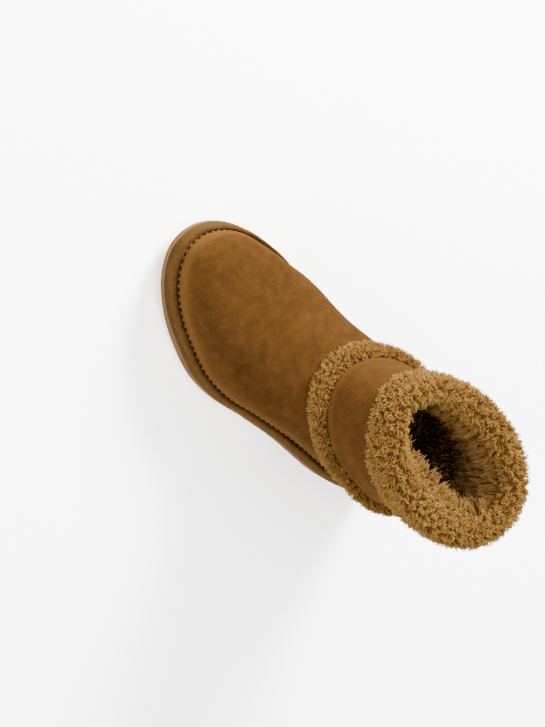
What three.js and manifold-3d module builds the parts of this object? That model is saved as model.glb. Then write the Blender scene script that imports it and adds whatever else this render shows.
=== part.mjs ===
// Left sheepskin ankle boot: a suede upper on a foam outsole, with a curly pile trim
// round the ankle seam and a deep curly pile cuff rolled over the collar.
// Millimetres, +Z up, toe towards -Y, the outer (lateral) side of the foot towards +X.
import * as THREE from "three";
import { mergeVertices } from "three/addons/utils/BufferGeometryUtils.js";
import Module from "manifold-3d";

const wasm = await Module();
wasm.setup();

// Sole sizes
const soleLength = 264;
const ballWidth = 103;
const forefootThickness = 11; // outsole under the ball, without the footbed step
const heelThickness = 16;
const toeSpring = 4; // how far the tip of the toe clears the floor
const toeBevel = 9; // how far the tread edge lies inside the outline at the toe
const sideBevel = 3;
const toeBevelFrom = 0.75; // share of the length at which the toe's bevel begins
const bevelRise = 0.62; // share of the sole's thickness up to which the bevel goes
const sideDraft = 0.8; // how far the side leans in above the bevel
const footbedStep = 4; // raised middle of the outsole, inside the upper

// Rand, the covered band between outsole and upper
const randHeight = 12;
const randWidth = 6; // from the sole outline to the stitched seam
const randRoll = 3; // rounding of its top edge

// Upper sizes
const wall = 3; // suede with its backing
const instepRise = 63; // ankle seam above the stitched seam
const shaftRise = 71; // collar above the ankle seam
const shaftDepth = 120; // front to back at the ankle
const shaftWidth = 86;
const shaftSetback = 17; // back of the ankle, forward of the sole's heel end

// Pile sizes
const trimWidth = 17; // up and down the leg
const trimDepth = 8;
const trimDrop = 0.45; // share of the trim below the ankle seam
const cuffSkirt = 28; // pile outside the shaft, below the collar edge
const cuffDepth = 9.5; // pile outside the shaft
const liningDepth = 15; // pile inside the shaft
const liningReach = 1.4; // how far down the inside it goes, as a share of the skirt
const cuffCrown = 10; // pile above the collar edge
const lockHeight = 3.5; // how far a lock stands out of the pile
const lockCurl = 0.35; // sideways reach of a lock's tip, as a share of its cell

// Insole
const insoleThickness = 5;
const insoleEdge = 2; // rounding of its top edge

// Tread
const grooveRows = 9;
const grooveWidth = 3.6;
const grooveDepth = 2.4;
const wavePeriod = 23; // across the sole
const firstRowFromHeel = 37;
const heelPitch = 17.5; // between rows at the heel
const pitchGrowth = 0.95; // each gap is wider by this much than the one behind it
const heelAmplitude = 9;
const amplitudeGrowth = 0.8;
const panelLength = 17; // plain label field in the arch
const panelWidth = 31;
const panelFromHeel = 93;
const panelLine = 1.1;

const seamLength = soleLength - 2 * randWidth;
const clearance = 0.3; // between pieces that touch
const cutterBelow = 5; // how far a tread cutter starts below the tread
const around = 48; // facets round the leg and the sole
const heelY = soleLength / 2;
const seamHeel = heelY - randWidth;

function table(columns, rows) {
  return rows.map((row) => Object.fromEntries(columns.map((name, i) => [name, row[i]])));
}

// Half widths of the sole. at is the share of the length from the heel, the widths are
// shares of the ball width, measured from the line between heel end and toe tip.
const soleOutline = [
  { at: 0.012, lateral: 0.146, medial: 0.126 },
  { at: 0.07, lateral: 0.288, medial: 0.265 },
  { at: 0.17, lateral: 0.371, medial: 0.333 },
  { at: 0.33, lateral: 0.417, medial: 0.335 },
  { at: 0.478, lateral: 0.486, medial: 0.378 },
  { at: 0.583, lateral: 0.548, medial: 0.434 },
  { at: 0.683, lateral: 0.553, medial: 0.491 },
  { at: 0.783, lateral: 0.486, medial: 0.472 },
  { at: 0.887, lateral: 0.371, medial: 0.392 },
  { at: 0.958, lateral: 0.229, medial: 0.262 },
  { at: 0.991, lateral: 0.1, medial: 0.13 },
];

// Sections of the foot, from the stitched seam to the ankle seam. front and back are shares
// of the seam's length from its heel end, frontUp and backUp shares of the instep rise,
// lateral and medial shares of the ball width, nose and tail the lengths, as shares of the
// sole length, over which each end rounds off. outline says how far the section still
// follows the seam, and swell widens the seam's line.
const footSections = table(
  ["front", "frontUp", "back", "backUp", "lateral", "medial", "nose", "tail", "outline", "swell"],
  [
    [1, 0, 0, 0, 0.44, 0.4, 0.2, 0.12, 1, 1],
    [1.003, 0.08, -0.004, 0.08, 0.44, 0.4, 0.2, 0.12, 1, 1.015],
    [0.993, 0.23, -0.01, 0.19, 0.44, 0.41, 0.22, 0.12, 0.95, 1.015],
    [0.964, 0.37, -0.013, 0.27, 0.44, 0.41, 0.26, 0.12, 0.85, 1],
    [0.909, 0.48, -0.013, 0.35, 0.435, 0.41, 0.32, 0.12, 0.7, 0.98],
    [0.834, 0.56, -0.011, 0.42, 0.43, 0.42, 0.36, 0.12, 0.5, 0.945],
    [0.755, 0.63, -0.007, 0.5, 0.43, 0.43, 0.34, 0.13, 0.32, 0.92],
    [0.676, 0.715, 0.002, 0.6, 0.43, 0.44, 0.3, 0.14, 0.16, 0.92],
    [0.604, 0.82, 0.015, 0.73, 0.43, 0.447, 0.26, 0.16, 0.05, 0.94],
  ],
);

// Sections of the shaft, from the ankle seam to the collar. up is a share of the shaft rise,
// back how far its back lies behind the ankle's, and depth, nose and tail are shares of the
// shaft depth. width and lean, its shift to the outer side, are shares of the shaft width.
const shaftSections = [
  { up: 0, back: 0.02, depth: 1.055, width: 1.05, lean: -0.003, nose: 0.5, tail: 0.42 },
  { up: 0.14, back: 0, depth: 1, width: 1.01, lean: 0.008, nose: 0.48, tail: 0.44 },
  { up: 0.4, back: 0.018, depth: 0.995, width: 0.985, lean: 0.02, nose: 0.5, tail: 0.46 },
  { up: 0.7, back: 0.06, depth: 1.015, width: 0.98, lean: 0.026, nose: 0.5, tail: 0.47 },
  { up: 1, back: 0.105, depth: 1.042, width: 0.98, lean: 0.032, nose: 0.5, tail: 0.48 },
];

const lerp = (a, b, t) => a + (b - a) * t;
const clamp01 = (t) => Math.min(1, Math.max(0, t));
const smooth = (t) => clamp01(t) ** 2 * (3 - 2 * clamp01(t));

// A smooth curve through rows of named columns, keyed by one column.
function tableCurve(rows, key) {
  const columns = Object.keys(rows[0]);
  const slope = (i, c) => {
    const a = rows[Math.max(i - 1, 0)];
    const b = rows[Math.min(i + 1, rows.length - 1)];
    return (b[c] - a[c]) / (b[key] - a[key]);
  };
  return (at) => {
    let i = rows.findIndex((row) => row[key] > at) - 1;
    if (i === -2) i = rows.length - 2;
    i = Math.max(i, 0);
    const [a, b] = [rows[i], rows[i + 1]];
    const span = b[key] - a[key];
    const t = clamp01((at - a[key]) / span);
    const value = {};
    for (const c of columns) {
      value[c] =
        a[c] * (1 + 2 * t) * (1 - t) ** 2 +
        slope(i, c) * span * t * (1 - t) ** 2 +
        b[c] * t * t * (3 - 2 * t) +
        slope(i + 1, c) * span * t * t * (t - 1);
    }
    return value;
  };
}

// The angle round the boot runs from the heel through the lateral side to the toe and back
// through the medial side. Its cosine gives the place along the boot.
const alongShare = (angle) => (1 - Math.cos(angle)) / 2;
const fullness = tableCurve(
  soleOutline.map(({ at, lateral, medial }) => {
    const sine = Math.sin(Math.acos(1 - 2 * at));
    return { angle: Math.acos(1 - 2 * at), lateral: lateral / sine, medial: medial / sine };
  }),
  "angle",
);

function outlinePoint(angle) {
  const side = Math.sin(angle) >= 0 ? "lateral" : "medial";
  const fold = Math.acos(Math.cos(angle));
  const x = Math.sin(angle) * fullness(fold)[side] * ballWidth;
  return new THREE.Vector2(x, heelY - alongShare(angle) * soleLength);
}

// The sole's outline moved inwards by inset.
function insetPoint(angle, inset) {
  const step = 0.01;
  const along = outlinePoint(angle + step).sub(outlinePoint(angle - step)).normalize();
  return outlinePoint(angle).add(new THREE.Vector2(along.y, -along.x).multiplyScalar(inset));
}

// Heights of the sole at a place along the boot.
const fromHeel = (y) => (heelY - y) / soleLength;
const springAt = (y) => toeSpring * clamp01((fromHeel(y) - 0.8) / 0.2) ** 2;
const soleTop = (y) =>
  springAt(y) + lerp(heelThickness, forefootThickness, smooth((fromHeel(y) - 0.2) / 0.4));
const seamHeight = (y) => soleTop(y) + randHeight;

// All sections of the upper in millimetres, keyed by their mean rise above the seam.
const upperSections = [
  ...footSections.map((row) => ({
    level: ((row.frontUp + row.backUp) / 2) * instepRise,
    frontUp: row.frontUp * instepRise,
    backUp: row.backUp * instepRise,
    front: seamHeel - row.front * seamLength,
    back: seamHeel - row.back * seamLength,
    lateral: row.lateral * ballWidth,
    medial: row.medial * ballWidth,
    nose: row.nose * soleLength,
    tail: row.tail * soleLength,
    outline: row.outline,
    swell: row.swell,
  })),
  ...shaftSections.map((row) => {
    const back = heelY - shaftSetback + row.back * shaftDepth;
    const up = instepRise + row.up * shaftRise;
    return {
      level: up,
      frontUp: up,
      backUp: up,
      front: back - row.depth * shaftDepth,
      back,
      lateral: (row.width / 2 + row.lean) * shaftWidth,
      medial: (row.width / 2 - row.lean) * shaftWidth,
      nose: row.nose * shaftDepth,
      tail: row.tail * shaftDepth,
      outline: 0,
      swell: 1,
    };
  }),
];
const sectionAt = tableCurve(upperSections, "level");
const collarLevel = instepRise + shaftRise;

// Levels at which both the suede and the pile on it have a ring, from low to high.
const trimLow = instepRise - trimDrop * trimWidth;
const trimSkin = [0, 0.33, 0.67, 1].map((share) => trimLow + share * trimWidth);
const cuffSkin = [liningReach, 1, 0.66, 0.33, 0].map((share) => collarLevel - share * cuffSkirt);

// Half of an ellipse's width, for the rounding of a section's end.
const rounded = (distance, reach) => Math.sqrt(1 - (1 - clamp01(distance / reach)) ** 2);

// A point on the suede's outer face.
function upperPoint(level, angle) {
  const row = sectionAt(level);
  const foot = insetPoint(angle, randWidth);
  const share = lerp(alongShare(angle), (seamHeel - foot.y) / seamLength, row.outline);
  const y = lerp(row.back, row.front, share);
  const depth = Math.abs(row.front - row.back);
  const half = Math.sin(angle) >= 0 ? row.lateral : -row.medial;
  const oval = half * rounded((1 - share) * depth, row.nose) * rounded(share * depth, row.tail);
  const x = lerp(oval, foot.x * row.swell, row.outline);
  const up = lerp(row.backUp, row.frontUp, share);
  return new THREE.Vector3(x, y, seamHeight(y) + up);
}

function upperNormal(level, angle) {
  const step = 0.02;
  const rise = 0.8;
  const low = Math.max(level - rise, 0);
  const high = Math.min(level + rise, collarLevel);
  const round = upperPoint(level, angle + step).sub(upperPoint(level, angle - step));
  const up = upperPoint(high, angle).sub(upperPoint(low, angle));
  return up.cross(round).normalize();
}

// A point off the suede by out. Past the collar's level it goes straight on up.
function offUpper(level, angle, out) {
  const on = Math.min(level, collarLevel);
  const point = upperPoint(on, angle).addScaledVector(upperNormal(on, angle), out);
  point.z += level - on;
  return point;
}

// A closed skin over a grid of points that wraps both ways: rings[i][k].
// raise(i, k) may give a point to which that cell rises as a lock. The other cells of a
// skin that lies on another one are split along the same diagonals as that one.
function ringGeometry(rings, raise) {
  const count = rings[0].length;
  const position = rings.flat().flatMap((p) => [p.x, p.y, p.z]);
  const index = [];
  rings.forEach((ring, i) => {
    const next = (i + 1) % rings.length;
    for (let k = 0; k < count; k++) {
      const a = i * count + k;
      const b = i * count + ((k + 1) % count);
      const c = next * count + ((k + 1) % count);
      const d = next * count + k;
      const tip = raise?.(i, k);
      if (tip) {
        const e = position.length / 3;
        position.push(tip.x, tip.y, tip.z);
        index.push(b, a, e, c, b, e, d, c, e, a, d, e);
      } else if (raise) {
        index.push(a, d, b, b, d, c);
      } else {
        index.push(a, c, b, a, d, c);
      }
    }
  });
  const geometry = new THREE.BufferGeometry();
  geometry.setAttribute("position", new THREE.Float32BufferAttribute(position, 3));
  geometry.setIndex(index);
  return geometry;
}

// A closed slab between rings, stacked from the lowest to the highest, with flat ends.
function stackGeometry(rings) {
  const count = rings[0].length;
  const position = rings.flat().flatMap((p) => [p.x, p.y, p.z]);
  const index = [];
  for (let i = 0; i + 1 < rings.length; i++) {
    for (let k = 0; k < count; k++) {
      const a = i * count + k;
      const b = i * count + ((k + 1) % count);
      index.push(a, b + count, b, a, a + count, b + count);
    }
  }
  // The ends are strips across, between points that mirror each other about the long axis.
  const cap = (start, flip) => {
    for (let k = 0; k < count / 2; k++) {
      const [a, b] = [start + k, start + k + 1];
      const [c, d] = [start + ((count - k - 1) % count), start + ((count - k) % count)];
      let faces = [[a, d, c], [a, c, b]];
      if (k === 0) faces = [[d, c, b]];
      if (k + 1 === count / 2) faces = [[a, d, b]];
      faces.forEach((f) => index.push(...(flip ? [f[0], f[2], f[1]] : f)));
    }
  };
  cap(0, true);
  cap((rings.length - 1) * count, false);
  const geometry = new THREE.BufferGeometry();
  geometry.setAttribute("position", new THREE.Float32BufferAttribute(position, 3));
  geometry.setIndex(index);
  return geometry;
}

const angles = (count) => Array.from({ length: count }, (_, k) => (k / count) * 2 * Math.PI);

function solidOf(geometry) {
  const bare = new THREE.BufferGeometry();
  bare.setAttribute("position", geometry.getAttribute("position"));
  if (geometry.index) bare.setIndex(geometry.index);
  const merged = mergeVertices(bare, 1e-4);
  return new wasm.Manifold(
    new wasm.Mesh({
      numProp: 3,
      vertProperties: new Float32Array(merged.attributes.position.array),
      triVerts: new Uint32Array(merged.index.array),
    }),
  );
}

function geometryOf(solid) {
  const mesh = solid.getMesh();
  const geometry = new THREE.BufferGeometry();
  geometry.setAttribute("position", new THREE.BufferAttribute(new Float32Array(mesh.vertProperties), 3));
  geometry.setIndex(new THREE.BufferAttribute(new Uint32Array(mesh.triVerts), 1));
  return geometry;
}

// One ring of the sole: the outline moved in, at a height that follows the place along it.
const soleRing = (inset, height) =>
  angles(around).map((angle) => {
    const p = insetPoint(angle, typeof inset === "function" ? inset(angle) : inset);
    return new THREE.Vector3(p.x, p.y, height(p.y));
  });

// Upper
function makeUpper() {
  const footShares = [0, 0.08, 0.17, 0.27, 0.36, 0.44, 0.52, 0.6, 0.68];
  const footLevels = footShares.map((share) => share * instepRise);
  const levels = [...footLevels, ...trimSkin, ...cuffSkin];
  const outside = levels.map((level) => angles(around).map((angle) => upperPoint(level, angle)));
  const inside = levels.map((level) => angles(around).map((angle) => offUpper(level, angle, -wall)));
  const foot = (y) => soleTop(y) + clearance;
  const rings = [
    soleRing(randWidth, foot),
    ...outside,
    ...inside.slice(1).reverse(),
    soleRing(randWidth + wall, (y) => seamHeight(y)),
    soleRing(randWidth + wall, foot),
  ];
  return ringGeometry(rings);
}

// Rand
function makeRand() {
  const bottom = (y) => soleTop(y) + clearance;
  const section = [
    { inset: randWidth - clearance, up: 0 },
    { inset: 1, up: 0 },
    { inset: 0.4, up: 0.28 },
    { inset: 0.9, up: 0.6 },
    { inset: randRoll, up: 0.9 },
    { inset: 0.75 * randWidth, up: 1 },
    { inset: randWidth - clearance, up: 0.9 },
  ];
  return ringGeometry(
    section.map(({ inset, up }) =>
      soleRing(inset, (y) => bottom(y) + up * (randHeight - clearance)),
    ),
  );
}

// Outsole
function treadInset(angle) {
  const toeShare = smooth((alongShare(angle) - toeBevelFrom) / (1 - toeBevelFrom));
  return lerp(sideBevel, toeBevel, toeShare);
}

function outsoleBlank() {
  const bevelTop = (y) => lerp(springAt(y), soleTop(y), bevelRise);
  return stackGeometry([
    soleRing(treadInset, springAt),
    soleRing((angle) => 0.45 * treadInset(angle), (y) => lerp(springAt(y), bevelTop(y), 0.4)),
    soleRing(sideDraft, bevelTop),
    soleRing(sideDraft / 2, soleTop),
    soleRing(randWidth + wall + clearance, soleTop),
    soleRing(randWidth + wall + clearance, (y) => soleTop(y) + footbedStep),
  ]);
}

// A strip of constant width along a zigzag, standing through the tread.
function zigzagCutter(row) {
  const amplitude = heelAmplitude + amplitudeGrowth * row;
  const fromHeelEnd = firstRowFromHeel + heelPitch * row + (pitchGrowth * row * (row - 1)) / 2;
  const reach = ballWidth * 0.62;
  const turns = Math.ceil(reach / (wavePeriod / 2));
  const line = [];
  for (let n = -turns; n <= turns; n++) {
    const crest = n % 2 === 0 ? amplitude / 2 : -amplitude / 2;
    line.push(new THREE.Vector2((n * wavePeriod) / 2, heelY - fromHeelEnd - crest));
  }
  const slant = Math.hypot(wavePeriod / 2, amplitude) / (wavePeriod / 2);
  const shift = (grooveWidth / 2) * slant;
  const shape = new THREE.Shape([
    ...line.map((p) => new THREE.Vector2(p.x, p.y - shift)),
    ...line.reverse().map((p) => new THREE.Vector2(p.x, p.y + shift)),
  ]);
  return liftedCutter(shape, fromHeelEnd, grooveDepth);
}

// A cutter that rises through the tread face to a depth above it.
function liftedCutter(shape, fromHeelEnd, depth) {
  const geometry = new THREE.ExtrudeGeometry(shape, { depth: cutterBelow + depth, bevelEnabled: false });
  geometry.translate(0, 0, springAt(heelY - fromHeelEnd) - cutterBelow);
  geometry.deleteAttribute("normal");
  geometry.deleteAttribute("uv");
  return solidOf(geometry);
}

function rectangle(width, length, y) {
  const [w, l] = [width / 2, length / 2];
  return [
    new THREE.Vector2(-w, y - l),
    new THREE.Vector2(w, y - l),
    new THREE.Vector2(w, y + l),
    new THREE.Vector2(-w, y + l),
  ];
}

function makeOutsole() {
  const panelY = heelY - panelFromHeel;
  const outer = rectangle(panelWidth, panelLength, panelY);
  const field = liftedCutter(new THREE.Shape(outer), panelFromHeel, 2 * grooveDepth);
  const line = new THREE.Shape(outer);
  const inner = rectangle(panelWidth - 2 * panelLine, panelLength - 2 * panelLine, panelY);
  line.holes.push(new THREE.Path(inner));
  const border = liftedCutter(line, panelFromHeel, panelLine);
  let sole = solidOf(outsoleBlank());
  for (let row = 0; row < grooveRows; row++) {
    sole = sole.subtract(zigzagCutter(row).subtract(field));
  }
  return geometryOf(sole.subtract(border));
}

// Insole
function makeInsole() {
  const inset = randWidth + wall + 2 * clearance;
  const bottom = (y) => soleTop(y) + footbedStep + clearance;
  return stackGeometry([
    soleRing(inset + insoleEdge / 2, bottom),
    soleRing(inset, (y) => bottom(y) + 0.4 * insoleThickness),
    soleRing(inset + insoleEdge, (y) => bottom(y) + insoleThickness),
  ]);
}

// Repeatable scatter, so that the locks are uneven but the same each time.
function scatter(i, k) {
  const value = Math.sin(i * 127.1 + k * 311.7) * 43758.5453;
  return value - Math.floor(value);
}

// Curly pile: a closed section of { level, out, pile } points swept round the leg.
// Cells between two pile points each rise to one lock, its tip curled to a side.
function makePile(section) {
  const rings = section.map(({ level, out, pile }, i) =>
    angles(around).map((angle, k) => {
      const turn = pile && i % 2 ? Math.PI / around : 0;
      const valley = pile ? 0.25 * lockHeight * (scatter(i, k) - 0.5) : 0;
      return offUpper(level, angle + turn, out + valley);
    }),
  );
  const lock = (i, k) => {
    const next = (i + 1) % section.length;
    if (!section[i].pile || !section[next].pile) return null;
    const right = (k + 1) % around;
    const corners = [rings[i][k], rings[i][right], rings[next][right], rings[next][k]];
    const middle = corners.reduce((sum, p) => sum.add(p), new THREE.Vector3()).divideScalar(4);
    const across = corners[1].clone().sub(corners[0]);
    const down = corners[3].clone().sub(corners[0]);
    const out = down.clone().cross(across).normalize();
    return middle
      .addScaledVector(out, lockHeight * (0.6 + 0.8 * scatter(k, i)))
      .addScaledVector(across, lockCurl * (scatter(i + 7, k) - 0.5))
      .addScaledVector(down, lockCurl * (scatter(i, k + 13) - 0.5));
  };
  return ringGeometry(rings, lock);
}

function makeAnkleTrim() {
  const bulge = trimDepth - lockHeight;
  const at = (share) => trimLow + share * trimWidth;
  return makePile([
    ...trimSkin.toReversed().map((level) => ({ level, out: clearance })),
    { level: at(0.04), out: 0.55 * bulge, pile: true },
    { level: at(0.22), out: 0.9 * bulge, pile: true },
    { level: at(0.5), out: bulge, pile: true },
    { level: at(0.78), out: 0.9 * bulge, pile: true },
    { level: at(0.96), out: 0.55 * bulge, pile: true },
  ]);
}

function makeCuff() {
  const bulge = cuffDepth - lockHeight;
  const fill = liningDepth - lockHeight;
  const inner = -wall - clearance;
  const skirtSkin = cuffSkin.slice(1);
  const outside = (share) => collarLevel - share * cuffSkirt;
  const inside = (share) => outside(share * liningReach);
  const crown = collarLevel + 0.75 * (cuffCrown - lockHeight);
  return makePile([
    ...cuffSkin.slice(0, -1).map((level) => ({ level, out: inner })),
    { level: collarLevel + clearance, out: inner },
    { level: collarLevel + clearance, out: clearance },
    ...skirtSkin.slice(0, -1).toReversed().map((level) => ({ level, out: clearance })),
    { level: outside(0.98), out: 0.6 * bulge, pile: true },
    { level: outside(0.7), out: bulge, pile: true },
    { level: outside(0.4), out: bulge, pile: true },
    { level: outside(0.08), out: bulge, pile: true },
    { level: crown, out: 0.4 * bulge, pile: true },
    { level: crown, out: inner - 0.35 * fill, pile: true },
    { level: inside(0.05), out: inner - fill, pile: true },
    { level: inside(0.28), out: inner - fill, pile: true },
    { level: inside(0.52), out: inner - 0.95 * fill, pile: true },
    { level: inside(0.76), out: inner - 0.8 * fill, pile: true },
    { level: inside(0.98), out: inner - 0.5 * fill, pile: true },
  ]);
}

const suede = new THREE.MeshStandardMaterial({ color: 0x8a5620, roughness: 0.95, metalness: 0 });
const randSuede = new THREE.MeshStandardMaterial({ color: 0x80501f, roughness: 0.9, metalness: 0 });
const foam = new THREE.MeshStandardMaterial({ color: 0xa8794c, roughness: 0.8, metalness: 0 });
const pile = new THREE.MeshStandardMaterial({ color: 0xa8763a, roughness: 1, metalness: 0 });
const fleece = new THREE.MeshStandardMaterial({ color: 0x9a6a32, roughness: 1, metalness: 0 });

const boot = new THREE.Group();
const add = (name, geometry, material) => {
  const mesh = new THREE.Mesh(geometry, material);
  mesh.name = name;
  boot.add(mesh);
};
add("outsole", makeOutsole(), foam);
add("rand", makeRand(), randSuede);
add("upper", makeUpper(), suede);
add("insole", makeInsole(), fleece);
add("ankle_trim", makeAnkleTrim(), pile);
add("cuff", makeCuff(), pile);

// The origin is on the floor, under the middle of the boot's box.
const box = new THREE.Box3().setFromObject(boot);
boot.position.set(-(box.min.x + box.max.x) / 2, -(box.min.y + box.max.y) / 2, -box.min.z);

export default boot;
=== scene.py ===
# Left sheepskin ankle boot: suede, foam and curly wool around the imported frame.
import math
from functools import partial

import bpy
import numpy as np
from mathutils import Matrix, Vector


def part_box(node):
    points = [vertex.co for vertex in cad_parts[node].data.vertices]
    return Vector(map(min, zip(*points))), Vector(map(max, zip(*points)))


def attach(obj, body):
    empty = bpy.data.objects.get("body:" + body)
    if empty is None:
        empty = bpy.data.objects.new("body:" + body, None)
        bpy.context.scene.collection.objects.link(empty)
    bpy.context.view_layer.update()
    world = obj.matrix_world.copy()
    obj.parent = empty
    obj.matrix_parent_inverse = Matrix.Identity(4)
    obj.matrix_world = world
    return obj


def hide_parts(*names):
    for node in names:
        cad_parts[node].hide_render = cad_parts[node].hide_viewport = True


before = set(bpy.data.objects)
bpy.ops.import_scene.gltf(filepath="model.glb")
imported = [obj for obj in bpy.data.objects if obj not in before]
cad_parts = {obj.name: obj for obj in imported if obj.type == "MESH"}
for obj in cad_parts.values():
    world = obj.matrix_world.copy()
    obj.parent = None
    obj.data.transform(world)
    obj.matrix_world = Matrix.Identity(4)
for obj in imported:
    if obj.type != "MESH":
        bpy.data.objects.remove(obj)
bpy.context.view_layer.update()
print("frame loaded")

# Working units are millimetres in the boot's own frame. meshFrom turns them to metres.
millimetre = 0.001

sole = {
    "length": 264,
    "ballWidth": 103,
    "forefootThickness": 11,
    "heelThickness": 16,
    "toeSpring": 4,
    "toeBevel": 9,
    "toeBevelFrom": 0.75,
    "sideBevel": 3,
    "bevelRise": 0.62,
    "sideDraft": 0.8,
    "footbedStep": 4,
}
rand = {"height": 12, "width": 6}
leg = {
    "wall": 3,
    "instepRise": 63,
    "shaftRise": 71,
    "shaftDepth": 120,
    "shaftWidth": 86,
    "shaftSetback": 17,
}
clearance = 0.3
heelY = sole["length"] / 2
seamLength = sole["length"] - 2 * rand["width"]
seamHeel = heelY - rand["width"]


def rowsOf(columns, *rows):
    return [dict(zip(columns.split(), row)) for row in rows]


# Half widths of the sole, in shares of the ball width. at is the share of the length.
soleOutline = rowsOf(
    "at lateral medial",
    (0.012, 0.146, 0.126),
    (0.07, 0.288, 0.265),
    (0.17, 0.371, 0.333),
    (0.33, 0.417, 0.335),
    (0.478, 0.486, 0.378),
    (0.583, 0.548, 0.434),
    (0.683, 0.553, 0.491),
    (0.783, 0.486, 0.472),
    (0.887, 0.371, 0.392),
    (0.958, 0.229, 0.262),
    (0.991, 0.1, 0.13),
)
# Foot sections from the stitched seam to the ankle seam, front and back along the seam.
footSections = rowsOf(
    "front frontUp back backUp lateral medial nose tail outline swell",
    (1, 0, 0, 0, 0.44, 0.4, 0.2, 0.12, 1, 1),
    (1.003, 0.08, -0.004, 0.08, 0.44, 0.4, 0.2, 0.12, 1, 1.015),
    (0.993, 0.23, -0.01, 0.19, 0.44, 0.41, 0.22, 0.12, 0.95, 1.015),
    (0.964, 0.37, -0.013, 0.27, 0.44, 0.41, 0.26, 0.12, 0.85, 1),
    (0.909, 0.48, -0.013, 0.35, 0.435, 0.41, 0.32, 0.12, 0.7, 0.98),
    (0.834, 0.56, -0.011, 0.42, 0.43, 0.42, 0.36, 0.12, 0.5, 0.945),
    (0.755, 0.63, -0.007, 0.5, 0.43, 0.43, 0.34, 0.13, 0.32, 0.92),
    (0.676, 0.715, 0.002, 0.6, 0.43, 0.44, 0.3, 0.14, 0.16, 0.92),
    (0.604, 0.82, 0.015, 0.73, 0.43, 0.447, 0.26, 0.16, 0.05, 0.94),
)
# Shaft sections from the ankle seam to the collar.
shaftSections = rowsOf(
    "up back depth width lean nose tail",
    (0, 0.02, 1.055, 1.05, -0.003, 0.5, 0.42),
    (0.14, 0, 1, 1.01, 0.008, 0.48, 0.44),
    (0.4, 0.018, 0.995, 0.985, 0.02, 0.5, 0.46),
    (0.7, 0.06, 1.015, 0.98, 0.026, 0.5, 0.47),
    (1, 0.105, 1.042, 0.98, 0.032, 0.5, 0.48),
)


# The vamp falls in over the seam beside the ball, on the inner side.
slimming = {"share": 0.07, "along": 0.81, "length": 0.085, "level": 14, "height": 12}


def lerp(a, b, t):
    return a + (b - a) * t


def smooth(t):
    t = np.clip(t, 0, 1)
    return t * t * (3 - 2 * t)


def bell(distance, width):
    return np.exp(-((distance / width) ** 2))


def tableCurve(rows, key):
    # A smooth curve through rows of named columns, keyed by one of them.
    columns = {name: np.array([row[name] for row in rows], float) for name in rows[0]}
    keys = columns[key]
    last = len(keys) - 1
    before = np.maximum(np.arange(last + 1) - 1, 0)
    after = np.minimum(np.arange(last + 1) + 1, last)
    step = keys[after] - keys[before]
    slopes = {name: (c[after] - c[before]) / step for name, c in columns.items()}

    def at(value):
        i = np.clip(np.searchsorted(keys, value, side="right") - 1, 0, last - 1)
        span = keys[i + 1] - keys[i]
        t = np.clip((value - keys[i]) / span, 0, 1)
        found = {}
        for name, c in columns.items():
            ends = c[i] * (1 + 2 * t) * (1 - t) ** 2 + c[i + 1] * t * t * (3 - 2 * t)
            pull = slopes[name][i] * t * (1 - t) ** 2 + slopes[name][i + 1] * t * t * (t - 1)
            found[name] = ends + pull * span
        return found

    return at


def fullnessRows():
    for row in soleOutline:
        angle = math.acos(1 - 2 * row["at"])
        sine = math.sin(angle)
        yield {"angle": angle, "lateral": row["lateral"] / sine, "medial": row["medial"] / sine}


fullness = tableCurve(list(fullnessRows()), "angle")


def alongShare(angle):
    # The angle runs from the heel through the lateral side to the toe and back.
    return (1 - np.cos(angle)) / 2


def outlinePoint(angle):
    found = fullness(np.arccos(np.clip(np.cos(angle), -1, 1)))
    side = np.where(np.sin(angle) >= 0, found["lateral"], found["medial"])
    x = np.sin(angle) * side * sole["ballWidth"]
    return np.stack([x, heelY - alongShare(angle) * sole["length"]], -1)


def insetPoint(angle, inset):
    step = 0.01
    along = outlinePoint(angle + step) - outlinePoint(angle - step)
    along /= np.linalg.norm(along, axis=-1, keepdims=True)
    inward = np.stack([along[..., 1], -along[..., 0]], -1)
    return outlinePoint(angle) + inward * np.asarray(inset)[..., None]


def fromHeel(y):
    return (heelY - y) / sole["length"]


def springAt(y):
    return sole["toeSpring"] * np.clip((fromHeel(y) - 0.8) / 0.2, 0, 1) ** 2


def soleTop(y):
    forward = smooth((fromHeel(y) - 0.2) / 0.4)
    return springAt(y) + lerp(sole["heelThickness"], sole["forefootThickness"], forward)


def seamHeight(y):
    return soleTop(y) + rand["height"]


def upperRows():
    scales = (
        ("frontUp backUp", leg["instepRise"]),
        ("lateral medial", sole["ballWidth"]),
        ("nose tail", sole["length"]),
    )
    for row in footSections:
        found = {**row, "level": (row["frontUp"] + row["backUp"]) / 2 * leg["instepRise"]}
        for names, scale in scales:
            found.update({name: row[name] * scale for name in names.split()})
        for end in ("front", "back"):
            found[end] = seamHeel - row[end] * seamLength
        yield found
    for row in shaftSections:
        back = heelY - leg["shaftSetback"] + row["back"] * leg["shaftDepth"]
        up = leg["instepRise"] + row["up"] * leg["shaftRise"]
        yield {
            "front": back - row["depth"] * leg["shaftDepth"],
            "frontUp": up,
            "back": back,
            "backUp": up,
            "lateral": (row["width"] / 2 + row["lean"]) * leg["shaftWidth"],
            "medial": (row["width"] / 2 - row["lean"]) * leg["shaftWidth"],
            "nose": row["nose"] * leg["shaftDepth"],
            "tail": row["tail"] * leg["shaftDepth"],
            "outline": 0,
            "swell": 1,
            "level": up,
        }


sectionAt = tableCurve(list(upperRows()), "level")
collarLevel = leg["instepRise"] + leg["shaftRise"]


def rounded(distance, reach):
    return np.sqrt(np.clip(1 - (1 - np.clip(distance / reach, 0, 1)) ** 2, 0, 1))


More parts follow.
